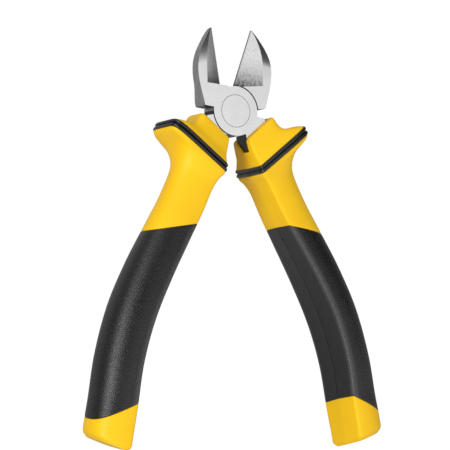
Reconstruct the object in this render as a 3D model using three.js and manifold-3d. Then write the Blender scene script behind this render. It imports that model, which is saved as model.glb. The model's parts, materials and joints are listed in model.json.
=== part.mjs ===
// Side cutters: two forged levers crossed in a half-lap joint, with two-component moulded handles.
// Millimetres. +Y runs from the pivot to the jaw tips and +Z is the side with the cutting bevels.
// Both halves are drawn in the closed position, then turned apart about the pivot. The half drawn
// here has its jaw on the left and its handle on the right. The other jaw is its mirror image, and
// the other handle comes from the same mould, turned over.
import * as THREE from "three";
import { mergeVertices } from "three/addons/utils/BufferGeometryUtils.js";
import Module from "manifold-3d";

const wasm = await Module();
wasm.setup();

// Opening: each half is turned this far from the closed position
const HALF_OPENING_DEG = 15;

// Clearances
const MOULDING_GAP = 0.3;
const LAP_GAP = 0.1;
const BOSS_GAP = 0.45;
const RIVET_GAP = 0.06;
const EDGE_GAP = 0.06;

// Joint
const HEAD_THICKNESS = 7.2;
const BOSS_RADIUS = 9;
const RIVET_HEAD_RADIUS = 5.9;
const RIVET_SHANK_RADIUS = 4.2;
const RIVET_HEAD_DEPTH = 1.6;
const JAW_SHOULDER_DEG = 22;
const STOP_SHOULDER_DEG = 25.3;
const STOP_SHOULDER_RADIUS = 11.9;

// Jaw
const JAW_LENGTH = 31.3;
const JAW_WIDTH = 11.7;
const JAW_SIDE_TOP = 11;
const CHEEK_OUT = 8.4;
const CHEEK_DOWN = 6.7;
const CHEEK_UP = 10.2;
const TIP_WIDTH = 0.6;
const BACK_CHAMFER = 1.65;
const BACK_CHAMFER_DEPTH = 2.9;
const EDGE_START = 9.9;
const EDGE_RELIEF = 0.6;
const EDGE_LAND = 0.3;
const EDGE_BASE_HEIGHT = -3;
const EDGE_TIP_HEIGHT = 0.9;
const BEVEL_RISE = 0.7;
const BACK_BEVEL_RISE = 1.2;
const STEP_INNER_Y = 9.5;
const STEP_OUTER_X = 8.7;
const STEP_OUTER_Y = 12.4;
const FRONT_CURVE_START = 19;
const FRONT_CURVE_RADIUS = 34;
const BACK_CURVE_START = 15;
const BACK_CURVE_RADIUS = 45;

// Tang: its root is as thick as the head, the rest tapers to its tip inside the handle
const ROOT_INNER_X = 1.7;
const ROOT_OUTER_X = 11.15;
const ROOT_SHOULDER_Y = -6;
const ROOT_END_Y = -15.2;
const TANG_LENGTH = 103;
const TANG_WIDTH = 8.4;
const TANG_TIP_WIDTH = 5;
const TANG_THICKNESS = 6.6;
const TANG_TIP_THICKNESS = 4.2;
const TANG_CHAMFER = 0.8;

// Handle, measured from the pivot along the inner face. Depth runs from the flat inner face to the
// round outer side, which stands higher than the inner face by rise. A ridge is the radius of the
// two edges beside the inner face. At the handle's end the back lies lower than the front by lean.
const NOSE_START = 10.7;
const NOSE_DEPTH = 12.8;
const NOSE_RISE = 5.4;
const NOSE_THICKNESS = 12.4;
const NOSE_RIDGE = 1;
const GUARD_START = 21.3;
const GUARD_END = 24.1;
const GUARD_DEPTH = 24.1;
const GUARD_TAPER = 0.7;
const GUARD_RISE = 10.1;
const GUARD_THICKNESS = 18.7;
const GUARD_RIDGE = 1.4;
const PLANE_GAP = 1.3;
const NECK_START = 31.6;
const HANDLE_LENGTH = 128.3;
const HANDLE_BOW = 17;
const HANDLE_LEAN = 2.7;
const GRIP_DEPTH = 13.3;
const GRIP_THICKNESS = 21.6;
const GRIP_RIDGE = 0.9;
const INNER_CROWN = 0.4;
const LEAST_RIDGE = 0.3;

// How the handle changes form from the nose to the guard: 0 is the nose's size, 1 the guard's
const NOSE_FORM = [
  { along: 0, inset: 0.5, depth: -0.09, rise: 0, half: -0.16, square: 10 },
  { along: 0.06, inset: 0, depth: 0, rise: 0, half: 0, square: 10 },
  { along: 0.35, inset: -0.1, depth: 0.09, rise: 0.16, half: 0.16, square: 9 },
  { along: 0.65, inset: 0.1, depth: 0.25, rise: 0.42, half: 0.39, square: 8 },
  { along: 0.91, inset: 0.1, depth: 0.79, rise: 0.9, half: 0.87, square: 8 },
  { along: 1, inset: 0, depth: 1, rise: 1, half: 1, square: 8 },
];

// From the guard down to the neck: 0 is the guard's size, 1 the neck's
const FLARE_FORM = [
  { along: 0, inset: 0, depth: 0, rise: 0, half: 0, square: 8 },
  { along: 0.12, inset: 0, depth: 0.05, rise: 0.07, half: 0.08, square: 7 },
  { along: 0.35, inset: 0, depth: 0.57, rise: 0.43, half: 0.5, square: 4 },
  { along: 0.63, inset: 0, depth: 0.86, rise: 0.73, half: 0.83, square: 3 },
];

// From the neck to the handle's end, as shares of the grip's own sizes
const GRIP_FORM = [
  { along: 0, bow: 0.26, depth: 1.01, rise: 0.42, half: 0.76, square: 2.5, ridge: 1.2 },
  { along: 0.09, bow: 0.37, depth: 1, rise: 0.26, half: 0.79, square: 2.4, ridge: 1.1 },
  { along: 0.21, bow: 0.56, depth: 0.99, rise: 0.23, half: 0.87, square: 2.4, ridge: 1 },
  { along: 0.36, bow: 0.785, depth: 1, rise: 0.18, half: 0.955, square: 2.4, ridge: 1 },
  { along: 0.52, bow: 0.96, depth: 1, rise: 0.07, half: 1, square: 2.4, ridge: 1 },
  { along: 0.69, bow: 1, depth: 0.99, rise: -0.04, half: 1, square: 2.4, ridge: 1 },
  { along: 0.84, bow: 0.91, depth: 1.01, rise: -0.07, half: 0.965, square: 2.5, ridge: 1.1 },
  { along: 0.945, bow: 0.86, depth: 1.01, rise: 0.03, half: 0.955, square: 2.7, ridge: 1.4 },
  { along: 0.985, bow: 0.84, depth: 0.98, rise: 0.09, half: 0.94, square: 3, ridge: 1.6 },
  { along: 1, bow: 0.88, depth: 0.8, rise: 0.08, half: 0.84, square: 3, ridge: 2 },
];

// Soft grip: each of its two edges runs from the inner face, down by drop to the outer side
const GRIP_WALL = 1.5;
const GRIP_START = 45.1;
const GRIP_START_DROP = 5.6;
const GRIP_START_BOW = 0.45;
const END_CAP = 16.7;
const END_CAP_DROP = 10;
const END_CAP_BOW = 0.93;

// Guard band: two ribs around the guard, each with a flank on both sides, and a valley between them
const BAND_DEPTH = 1.4;
const RIB_HEIGHT = 0.35;
const RIB_FLANK = 0.28;
const VALLEY_WIDTH = 0.22;
const VALLEY_DEPTH = 0.25;

// Facets
const ROUND_FACETS = 64;
const CURVE_FACETS = 12;
const JAW_SIDE_FACETS = 5;
const RIDGE_FACETS = 2;
const SIDE_FACETS = 7;
const RINGS_PER_SECTION = 2;

const STEEL = new THREE.MeshStandardMaterial({ color: 0xc6c8ca, roughness: 0.32, metalness: 1 });
const YELLOW_PLASTIC = new THREE.MeshStandardMaterial({ color: 0xf6c60a, roughness: 0.38, metalness: 0 });
const BLACK_RUBBER = new THREE.MeshStandardMaterial({ color: 0x2b2b2c, roughness: 0.75, metalness: 0 });

const HALF_THICKNESS = HEAD_THICKNESS / 2;
const QUARTER_TURN = Math.PI / 2;

// Cutting shapes reach this far, or run this little past the face that they cut
const FAR = 60;
const CUT_OVERRUN = 1;
const MERGE_DISTANCE = 1e-4;

function solid(geometry) {
  const bare = geometry.clone();
  bare.deleteAttribute("normal");
  bare.deleteAttribute("uv");
  const merged = mergeVertices(bare, MERGE_DISTANCE);
  const vertProperties = new Float32Array(merged.attributes.position.array);
  const triVerts = new Uint32Array(merged.index.array);
  return new wasm.Manifold(new wasm.Mesh({ numProp: 3, vertProperties, triVerts }));
}

function meshOf(name, body, material) {
  const result = body.getMesh();
  const geometry = new THREE.BufferGeometry();
  geometry.setAttribute("position", new THREE.BufferAttribute(result.vertProperties, 3));
  geometry.setIndex(new THREE.BufferAttribute(result.triVerts, 1));
  geometry.computeVertexNormals();
  const mesh = new THREE.Mesh(geometry, material);
  mesh.name = name;
  return mesh;
}

function polygon(points) {
  return new THREE.Shape(points.map(([x, y]) => new THREE.Vector2(x, y)));
}

function polar(radius, degrees) {
  const angle = THREE.MathUtils.degToRad(degrees);
  return [radius * Math.cos(angle), radius * Math.sin(angle)];
}

// A flat shape made into a plate between two heights
function plate(shape, bottom, top, curveSegments = CURVE_FACETS) {
  const settings = { depth: top - bottom, bevelEnabled: false, curveSegments };
  const geometry = new THREE.ExtrudeGeometry(shape, settings);
  geometry.translate(0, 0, bottom);
  return solid(geometry);
}

// A shape drawn in the Y-Z plane, extruded along X through the whole jaw
function sideCut(shape) {
  const settings = { depth: FAR, bevelEnabled: false, curveSegments: CURVE_FACETS };
  const geometry = new THREE.ExtrudeGeometry(shape, settings);
  geometry.translate(0, 0, -FAR / 2);
  const toSide = new THREE.Matrix4().makeBasis(
    new THREE.Vector3(0, 1, 0),
    new THREE.Vector3(0, 0, 1),
    new THREE.Vector3(1, 0, 0),
  );
  return solid(geometry.applyMatrix4(toSide));
}

function turned(profile) {
  const points = profile.map(([radius, height]) => new THREE.Vector2(radius, height));
  const geometry = new THREE.LatheGeometry(points, ROUND_FACETS);
  return solid(geometry.rotateX(QUARTER_TURN));
}

// A closed skin over rings of points, from the first ring to the last
function loft(rings) {
  const count = rings[0].length;
  const positions = rings.flat().flatMap((point) => [point.x, point.y, point.z]);
  const index = [];
  for (let ring = 0; ring + 1 < rings.length; ring += 1) {
    for (let side = 0; side < count; side += 1) {
      const next = (side + 1) % count;
      const [a, b] = [ring * count + side, ring * count + next];
      const [c, d] = [a + count, b + count];
      index.push(a, d, b, a, c, d);
    }
  }
  const last = (rings.length - 1) * count;
  for (let side = 1; side + 1 < count; side += 1) {
    index.push(0, side, side + 1, last, last + side + 1, last + side);
  }
  const geometry = new THREE.BufferGeometry();
  geometry.setAttribute("position", new THREE.Float32BufferAttribute(positions, 3));
  geometry.setIndex(index);
  return solid(geometry);
}

// Lever

function edgeSlope() {
  return (EDGE_TIP_HEIGHT - EDGE_BASE_HEIGHT) / (JAW_LENGTH - EDGE_START);
}

// The joint's round boss with the tang's root; the stop shoulder faces the other half's jaw
function bossOutline() {
  const [stopX, stopY] = polar(STOP_SHOULDER_RADIUS, -STOP_SHOULDER_DEG);
  const stopShoulder = Math.atan2(stopY, stopX);
  const rootInner = 2 * Math.PI - Math.acos(ROOT_INNER_X / BOSS_RADIUS);
  const outline = new THREE.Shape();
  outline.moveTo(ROOT_INNER_X, ROOT_END_Y);
  outline.lineTo(ROOT_OUTER_X, ROOT_END_Y);
  outline.lineTo(ROOT_OUTER_X, ROOT_SHOULDER_Y);
  outline.lineTo(stopX, stopY);
  outline.absarc(0, 0, BOSS_RADIUS, stopShoulder, rootInner, false);
  return outline;
}

// Jaw outline from the pivot up the closing plane and back down the round cheek. The back of the
// cheek is chamfered: chamfer tells how far its points move in.
function jawRing(height, chamfer) {
  const cheek = new THREE.CubicBezierCurve(
    new THREE.Vector2(-TIP_WIDTH, JAW_LENGTH),
    new THREE.Vector2(-CHEEK_OUT, JAW_LENGTH - CHEEK_DOWN),
    new THREE.Vector2(-JAW_WIDTH, JAW_SIDE_TOP + CHEEK_UP),
    new THREE.Vector2(-JAW_WIDTH, JAW_SIDE_TOP),
  );
  const shoulderY = JAW_WIDTH * Math.tan(THREE.MathUtils.degToRad(JAW_SHOULDER_DEG));
  const side = cheek.getSpacedPoints(CURVE_FACETS);
  for (let step = 1; step <= JAW_SIDE_FACETS; step += 1) {
    const y = THREE.MathUtils.lerp(JAW_SIDE_TOP, shoulderY, step / JAW_SIDE_FACETS);
    side.push(new THREE.Vector2(-JAW_WIDTH, y));
  }
  const points = side.map((point, step) => {
    const [before, after] = [side[Math.max(step - 1, 0)], side[Math.min(step + 1, side.length - 1)]];
    const inward = new THREE.Vector2(before.y - after.y, after.x - before.x).normalize();
    const rise = THREE.MathUtils.smoothstep(point.y, shoulderY, JAW_SIDE_TOP + BACK_CHAMFER_DEPTH);
    const fall = THREE.MathUtils.smoothstep(JAW_LENGTH - point.y, 0, CHEEK_DOWN);
    return point.clone().addScaledVector(inward, chamfer * rise * fall);
  });
  const plane = [new THREE.Vector2(-EDGE_GAP, 0), new THREE.Vector2(-EDGE_GAP, JAW_LENGTH)];
  return [...plane, ...points].map((point) => new THREE.Vector3(point.x, point.y, height));
}

// Everything beyond a sloping plane through the cutting edge, above it or below it
function bevelCut(rise, heightFromEdge, side) {
  const slope = edgeSlope();
  const middle = (EDGE_START + JAW_LENGTH) / 2;
  const height = EDGE_BASE_HEIGHT + slope * (middle - EDGE_START) + heightFromEdge;
  const along = new THREE.Vector3(0, FAR, slope * FAR);
  const across = new THREE.Vector3(-FAR, 0, rise * FAR);
  const up = new THREE.Vector3(0, 0, FAR);
  const place = new THREE.Matrix4().makeBasis(along, across, up);
  place.setPosition(-EDGE_GAP, middle, height + side * FAR / 2);
  return solid(new THREE.BoxGeometry(1, 1, 1).applyMatrix4(place));
}

function frontBevel() {
  const slope = (STEP_OUTER_Y - STEP_INNER_Y) / (STEP_OUTER_X - EDGE_RELIEF);
  const beyondStep = polygon([
    [-EDGE_RELIEF, STEP_INNER_Y],
    [JAW_WIDTH, STEP_INNER_Y],
    [JAW_WIDTH, FAR],
    [-FAR, FAR],
    [-FAR, STEP_INNER_Y + slope * (FAR - EDGE_RELIEF)],
  ]);
  return bevelCut(BEVEL_RISE, EDGE_LAND / 2, 1).intersect(plate(beyondStep, -FAR, FAR));
}

function backBevel() {
  return bevelCut(-BACK_BEVEL_RISE, -EDGE_LAND / 2, -1);
}

// Below the cutting edge the jaw stands back from the closing plane
function edgeRelief() {
  const clear = polygon([
    [-EDGE_RELIEF, -FAR],
    [FAR, -FAR],
    [FAR, EDGE_START],
    [-EDGE_RELIEF, EDGE_START],
  ]);
  return plate(clear, -FAR, FAR);
}

// The jaw thins towards its tip along an arc on each face; side is 1 for the front, -1 for the back
function faceCurve(start, radius, side) {
  const reach = JAW_LENGTH + TIP_WIDTH - start;
  const drop = Math.asin(reach / radius);
  const shape = new THREE.Shape();
  shape.moveTo(start, side * HALF_THICKNESS);
  const centre = side * (HALF_THICKNESS - radius);
  shape.absarc(start, centre, radius, side * QUARTER_TURN, side * (QUARTER_TURN - drop), side > 0);
  shape.lineTo(start + reach, side * FAR);
  shape.lineTo(start, side * FAR);
  return sideCut(shape);
}

function tangRing(section, direction, grow) {
  const halfWidth = section.width / 2 + grow;
  const halfThickness = section.thickness / 2 + grow;
  const corners = [
    [-halfWidth, halfThickness - TANG_CHAMFER],
    [-halfWidth + TANG_CHAMFER, halfThickness],
    [halfWidth - TANG_CHAMFER, halfThickness],
    [halfWidth, halfThickness - TANG_CHAMFER],
    [halfWidth, -halfThickness + TANG_CHAMFER],
    [halfWidth - TANG_CHAMFER, -halfThickness],
    [-halfWidth + TANG_CHAMFER, -halfThickness],
    [-halfWidth, -halfThickness + TANG_CHAMFER],
  ];
  const [x, y] = section.at;
  return corners.map(([across, z]) => {
    return new THREE.Vector3(x - direction.y * across, y + direction.x * across, z);
  });
}

function curveThrough(sections, pick) {
  return new THREE.CatmullRomCurve3(sections.map((section) => new THREE.Vector3(...pick(section))));
}

// The middle of the tang's root, then of the handle's sections as far as the tang's tip
function tangPath() {
  const root = new THREE.Vector3((ROOT_INNER_X + ROOT_OUTER_X) / 2, ROOT_END_Y + TANG_THICKNESS / 2, 0);
  const reached = GRIP_SECTIONS.filter(({ inner }) => -inner[1] >= NECK_START && -inner[1] < TANG_LENGTH);
  const middles = reached.map(({ inner, outer }) => {
    return new THREE.Vector3((inner[0] + outer[0]) / 2, (inner[1] + outer[1]) / 2, 0);
  });
  return new THREE.CatmullRomCurve3([root, ...middles]);
}

// The tang, or with grow the space that it needs; the space also runs on past the tang's end
function tang(grow) {
  const path = tangPath();
  const steps = (path.points.length - 1) * RINGS_PER_SECTION;
  const rings = [];
  for (let step = 0; step <= steps; step += 1) {
    const place = step / steps;
    const point = path.getPoint(place);
    const direction = path.getTangent(place);
    const width = THREE.MathUtils.lerp(TANG_WIDTH, TANG_TIP_WIDTH, place);
    const thickness = THREE.MathUtils.lerp(TANG_THICKNESS, TANG_TIP_THICKNESS, place);
    const past = step === steps ? grow : 0;
    const at = [point.x + past * direction.x, point.y + past * direction.y];
    rings.push(tangRing({ at, width, thickness }, direction, grow));
  }
  return loft(rings);
}

function rivetProfile(grow, reach) {
  const cone = (RIVET_HEAD_RADIUS - RIVET_SHANK_RADIUS) / RIVET_HEAD_DEPTH;
  const head = RIVET_HEAD_RADIUS + grow + cone * reach;
  const shank = RIVET_SHANK_RADIUS + grow;
  const end = HALF_THICKNESS + reach;
  const neck = HALF_THICKNESS - RIVET_HEAD_DEPTH;
  return [[0, -end], [head, -end], [shank, -neck], [shank, neck], [head, end], [0, end]];
}

function jaw() {
  const rings = [
    jawRing(HALF_THICKNESS, 0),
    jawRing(BACK_CHAMFER_DEPTH - HALF_THICKNESS, 0),
    jawRing(-HALF_THICKNESS, BACK_CHAMFER),
  ];
  return loft(rings)
    .subtract(edgeRelief())
    .subtract(frontBevel())
    .subtract(backBevel())
    .subtract(faceCurve(FRONT_CURVE_START, FRONT_CURVE_RADIUS, 1))
    .subtract(faceCurve(BACK_CURVE_START, BACK_CURVE_RADIUS, -1));
}

// lap is 1 where the lever keeps the front half of the joint, -1 where it keeps the back half
function lever(lap) {
  const recess = new THREE.Shape().absarc(0, 0, BOSS_RADIUS + BOSS_GAP, 0, 2 * Math.PI, false);
  const lapFace = lap * LAP_GAP / 2;
  const recessRange = lap > 0 ? [-FAR, lapFace] : [lapFace, FAR];
  return plate(bossOutline(), -HALF_THICKNESS, HALF_THICKNESS, ROUND_FACETS)
    .add(jaw())
    .add(tang(0))
    .subtract(plate(recess, ...recessRange, ROUND_FACETS))
    .subtract(turned(rivetProfile(RIVET_GAP, CUT_OVERRUN)));
}

// Handle

// A section from its inner point, its depth and its rise
function sectionAt(x, y, { depth, rise, half, square, ridge }) {
  return { inner: [x, y], outer: [x + depth, y + rise], half, square, ridge };
}

const { lerp } = THREE.MathUtils;
const NOSE = { depth: NOSE_DEPTH, rise: NOSE_RISE, half: NOSE_THICKNESS / 2, ridge: NOSE_RIDGE };
const GUARD = { depth: GUARD_DEPTH, rise: GUARD_RISE, half: GUARD_THICKNESS / 2, ridge: GUARD_RIDGE };
const GUARD_TOP = { ...GUARD, depth: GUARD_DEPTH - GUARD_TAPER };

function gripSection(form) {
  const y = -lerp(NECK_START, HANDLE_LENGTH, form.along);
  return sectionAt(form.bow * HANDLE_BOW, y, {
    depth: form.depth * GRIP_DEPTH,
    rise: form.rise * GRIP_DEPTH,
    half: form.half * GRIP_THICKNESS / 2,
    square: form.square,
    ridge: form.ridge * GRIP_RIDGE,
  });
}

// A section between two sizes of the handle, from one place along it to another
function changingSection(form, from, to, x, y) {
  return sectionAt(x + form.inset, y, {
    depth: lerp(from.depth, to.depth, form.depth),
    rise: lerp(from.rise, to.rise, form.rise),
    half: lerp(from.half, to.half, form.half),
    square: form.square,
    ridge: lerp(from.ridge, to.ridge, form.along),
  });
}

const NOSE_SECTIONS = NOSE_FORM.map((form) => {
  const y = -lerp(NOSE_START, GUARD_START, form.along);
  return changingSection(form, NOSE, GUARD_TOP, PLANE_GAP, y);
});

const NECK_SECTIONS = GRIP_FORM.map(gripSection);
const [neck] = NECK_SECTIONS;
const NECK = {
  depth: neck.outer[0] - neck.inner[0],
  rise: neck.outer[1] - neck.inner[1],
  half: neck.half,
  ridge: neck.ridge,
};
const FLARE_SECTIONS = FLARE_FORM.map((form) => {
  const x = lerp(PLANE_GAP, neck.inner[0], form.rise);
  return changingSection(form, GUARD, NECK, x, -lerp(GUARD_END, NECK_START, form.along));
});
const GRIP_SECTIONS = [...FLARE_SECTIONS, ...NECK_SECTIONS];

// One section of the handle, drawn inset from its outer surface
function handleRing(section, inset) {
  const inner = new THREE.Vector2(...section.inner);
  const across = new THREE.Vector2(...section.outer).sub(inner);
  const width = across.length() - 2 * inset;
  const half = section.half - inset;
  across.normalize();
  const ridge = Math.max(section.ridge - inset, LEAST_RIDGE);
  const profile = [];
  for (let step = 0; step <= RIDGE_FACETS; step += 1) {
    const turn = (step / RIDGE_FACETS) * QUARTER_TURN;
    profile.push([ridge * (1 - Math.cos(turn)), half - ridge * (1 - Math.sin(turn))]);
  }
  for (let step = 1; step <= SIDE_FACETS; step += 1) {
    const turn = (step / SIDE_FACETS) * QUARTER_TURN;
    const outward = Math.sin(turn) ** (2 / section.square);
    const upward = step === SIDE_FACETS ? 0 : Math.cos(turn) ** (2 / section.square);
    profile.push([ridge + (width - ridge) * outward, half * upward]);
  }
  const back = profile.slice(0, -1).reverse().map(([s, z]) => [s, -z]);
  const ring = [[-INNER_CROWN, 0], ...profile, ...back];
  return ring.map(([s, z]) => {
    const point = inner.clone().addScaledVector(across, s + inset);
    return new THREE.Vector3(point.x, point.y + leanAt(point.y) * z, z);
  });
}

// Below the guard the handle leans more and more from front to back
function leanAt(y) {
  const past = Math.max(-y - GUARD_END, 0) / (HANDLE_LENGTH - GUARD_END);
  return past * HANDLE_LEAN / GRIP_THICKNESS;
}

function blendSections(sections, place) {
  const inner = curveThrough(sections, (section) => [...section.inner, 0]).getPoint(place);
  const outer = curveThrough(sections, (section) => [...section.outer, 0]).getPoint(place);
  const forms = curveThrough(sections, (section) => [section.half, section.square, section.ridge]);
  const { x: half, y: square, z: ridge } = forms.getPoint(place);
  return { inner: [inner.x, inner.y], outer: [outer.x, outer.y], half, square, ridge };
}

function handleLoft(sections, inset) {
  const steps = (sections.length - 1) * RINGS_PER_SECTION;
  const rings = [];
  for (let step = 0; step <= steps; step += 1) {
    rings.push(handleRing(blendSections(sections, step / steps), inset));
  }
  return loft(rings);
}

// Two points of one edge of the grip, far to both sides of the handle
function gripEdge(distance, drop, bow, z) {
  const y = leanAt(-distance) * z - distance;
  const slope = drop / GRIP_DEPTH;
  return [-FAR, FAR].map((reach) => new THREE.Vector3(bow * HANDLE_BOW + reach, y - slope * reach, z));
}

// The space between the two edges of the grip, moved apart by grow
function gripRegion(grow) {
  const rings = [FAR, -FAR].map((z) => {
    const [topInner, topOuter] = gripEdge(GRIP_START - grow, GRIP_START_DROP, GRIP_START_BOW, z);
    const end = HANDLE_LENGTH - END_CAP + grow;
    const [lowInner, lowOuter] = gripEdge(end, END_CAP_DROP, END_CAP_BOW, z);
    return [topInner, lowInner, lowOuter, topOuter];
  });
  return loft(rings);
}

function betweenSections(upper, lower, place) {
  const mix = (a, b) => a + (b - a) * place;
  return {
    inner: [mix(upper.inner[0], lower.inner[0]), mix(upper.inner[1], lower.inner[1])],
    outer: [mix(upper.outer[0], lower.outer[0]), mix(upper.outer[1], lower.outer[1])],
    half: mix(upper.half, lower.half),
    square: mix(upper.square, lower.square),
    ridge: mix(upper.ridge, lower.ridge),
  };
}

const GUARD_UPPER = NOSE_SECTIONS.at(-1);
const GUARD_LOWER = GRIP_SECTIONS[0];

// Solid between the two guard edges, running on past both by overrun
function guardCore(inset, overrun) {
  const past = overrun / grooveWidth();
  const places = [-past, 1 + past];
  return loft(places.map((place) => handleRing(betweenSections(GUARD_UPPER, GUARD_LOWER, place), inset)));
}

function grooveWidth() {
  return new THREE.Vector2(...GUARD_UPPER.inner).distanceTo(new THREE.Vector2(...GUARD_LOWER.inner));
}

function guardBand() {
  const groove = grooveWidth();
  const crest = (groove - 2 * MOULDING_GAP - VALLEY_WIDTH) / 2 - 2 * RIB_FLANK;
  const firstRib = MOULDING_GAP;
  const secondRib = firstRib + 2 * RIB_FLANK + crest + VALLEY_WIDTH;
  const rings = [firstRib, secondRib].flatMap((start) => {
    const foot = (along) => ribRing((start + along) / groove, -VALLEY_DEPTH);
    const top = (along) => ribRing((start + along) / groove, RIB_HEIGHT);
    return [foot(0), top(RIB_FLANK), top(RIB_FLANK + crest), foot(2 * RIB_FLANK + crest)];
  });
  return loft(rings).subtract(guardCore(BAND_DEPTH, CUT_OVERRUN));
}

// A ring around the guard at a share of the groove's width, standing out by height
function ribRing(place, height) {
  return handleRing(betweenSections(GUARD_UPPER, GUARD_LOWER, place), -height);
}

function handleBody() {
  const entry = polygon([
    [0, ROOT_END_Y - MOULDING_GAP],
    [ROOT_OUTER_X + MOULDING_GAP, ROOT_END_Y - MOULDING_GAP],
    [ROOT_OUTER_X + MOULDING_GAP, 0],
    [0, 0],
  ]);
  const slot = HALF_THICKNESS + MOULDING_GAP;
  const core = handleLoft(GRIP_SECTIONS, GRIP_WALL + MOULDING_GAP);
  const gripSpace = gripRegion(MOULDING_GAP).subtract(core);
  return handleLoft(NOSE_SECTIONS, 0)
    .add(guardCore(BAND_DEPTH + MOULDING_GAP, CUT_OVERRUN))
    .add(handleLoft(GRIP_SECTIONS, 0).subtract(gripSpace))
    .subtract(tang(MOULDING_GAP))
    .subtract(plate(entry, -slot, slot));
}

function softGrip() {
  const core = handleLoft(GRIP_SECTIONS, GRIP_WALL);
  return handleLoft(GRIP_SECTIONS, 0).intersect(gripRegion(0)).subtract(core);
}

// Assembly

const body = handleBody();
const grip = softGrip();
const band = guardBand();

function handle(side) {
  const group = new THREE.Group();
  group.add(meshOf(`${side}_handle_body`, body, YELLOW_PLASTIC));
  group.add(meshOf(`${side}_soft_grip`, grip, BLACK_RUBBER));
  group.add(meshOf(`${side}_guard_band`, band, BLACK_RUBBER));
  return group;
}

const halfOpening = THREE.MathUtils.degToRad(HALF_OPENING_DEG);
const frontHalf = new THREE.Group();
frontHalf.add(meshOf("front_lever", lever(1), STEEL));
frontHalf.add(meshOf("pivot_rivet", turned(rivetProfile(0, 0)), STEEL));
frontHalf.add(handle("right"));
frontHalf.rotation.z = halfOpening;

const rearLever = meshOf("rear_lever", lever(-1), STEEL);
rearLever.scale.x = -1;
const leftHandle = handle("left");
leftHandle.rotation.y = Math.PI;
const rearHalf = new THREE.Group();
rearHalf.add(rearLever, leftHandle);
rearHalf.rotation.z = -halfOpening;

const sideCutters = new THREE.Group();
sideCutters.add(frontHalf, rearHalf);
for (const half of sideCutters.children) {
  half.position.z = HALF_THICKNESS;
}

export default sideCutters;
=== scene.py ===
"""Side cutters: the finish of the two ground steel levers, the flush rivet and the moulded handles."""
import json
import math

import bmesh
import bpy
import numpy as np
from mathutils import Matrix, Vector


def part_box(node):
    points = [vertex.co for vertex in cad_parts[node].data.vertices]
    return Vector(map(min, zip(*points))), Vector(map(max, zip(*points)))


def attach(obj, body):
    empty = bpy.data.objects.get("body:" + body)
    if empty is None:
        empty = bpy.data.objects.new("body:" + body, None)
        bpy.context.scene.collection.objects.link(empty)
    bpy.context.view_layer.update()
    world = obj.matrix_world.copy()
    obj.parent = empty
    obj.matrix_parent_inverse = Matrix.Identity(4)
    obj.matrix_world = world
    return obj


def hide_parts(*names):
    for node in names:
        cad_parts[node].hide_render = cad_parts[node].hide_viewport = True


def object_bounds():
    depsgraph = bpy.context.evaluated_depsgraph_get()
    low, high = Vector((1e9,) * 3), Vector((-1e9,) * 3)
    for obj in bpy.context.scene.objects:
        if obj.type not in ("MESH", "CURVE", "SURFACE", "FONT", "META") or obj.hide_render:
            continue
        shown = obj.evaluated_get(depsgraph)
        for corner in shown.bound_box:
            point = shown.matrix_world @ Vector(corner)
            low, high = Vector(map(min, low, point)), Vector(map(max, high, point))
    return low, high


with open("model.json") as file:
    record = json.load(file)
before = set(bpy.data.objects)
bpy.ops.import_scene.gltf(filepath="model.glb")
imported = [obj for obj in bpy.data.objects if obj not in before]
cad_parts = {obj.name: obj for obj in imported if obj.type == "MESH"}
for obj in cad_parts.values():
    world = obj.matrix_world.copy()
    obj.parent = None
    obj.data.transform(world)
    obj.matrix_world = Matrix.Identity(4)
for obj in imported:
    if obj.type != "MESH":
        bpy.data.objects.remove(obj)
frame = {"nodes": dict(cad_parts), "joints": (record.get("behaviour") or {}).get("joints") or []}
cad_low, cad_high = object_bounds()

MM = 0.001

# The tool as it is drawn: closed, then turned open about the pivot
PIVOT = frame["joints"][0]
HALF_OPENING = math.radians(PIVOT["range_deg"][1]) / 2
RIVET_LOW, RIVET_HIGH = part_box("pivot_rivet")
HEAD_MIDDLE = (RIVET_LOW.z + RIVET_HIGH.z) / 2 / MM
HEAD_HALF = (RIVET_HIGH.z - RIVET_LOW.z) / 2 / MM

# Handle sizes in millimetres, measured from the pivot along the flat inner face
NOSE_START = 10.7
GUARD_START = 21.3
GUARD_END = 24.1
NECK_START = 31.6
HANDLE_LENGTH = 128.3
HANDLE_BOW = 17
HANDLE_LEAN = 2.7
PLANE_GAP = 1.3
GRIP_DEPTH = 13.3
GRIP_THICKNESS = 21.6
GRIP_RIDGE = 0.9
GUARD_TAPER = 0.7
NOSE = {"depth": 12.8, "rise": 5.4, "half": 6.2, "ridge": 1}
GUARD = {"depth": 24.1, "rise": 10.1, "half": 9.35, "ridge": 1.4}
INNER_CROWN = 0.4
LEAST_RIDGE = 0.3

# Nose to guard: 0 is the nose's size, 1 the guard's (along, inset, depth, rise, half, square)
NOSE_FORM = [
    (0, 0.5, -0.09, 0, -0.16, 10),
    (0.06, 0, 0, 0, 0, 10),
    (0.35, -0.1, 0.09, 0.16, 0.16, 9),
    (0.65, 0.1, 0.25, 0.42, 0.39, 8),
    (0.91, 0.1, 0.79, 0.9, 0.87, 8),
    (1, 0, 1, 1, 1, 8),
]

# Guard to neck: 0 is the guard's size, 1 the neck's (along, inset, depth, rise, half, square)
FLARE_FORM = [
    (0, 0, 0, 0, 0, 8),
    (0.12, 0, 0.05, 0.07, 0.08, 7),
    (0.35, 0, 0.57, 0.43, 0.5, 4),
    (0.63, 0, 0.86, 0.73, 0.83, 3),
]

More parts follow.
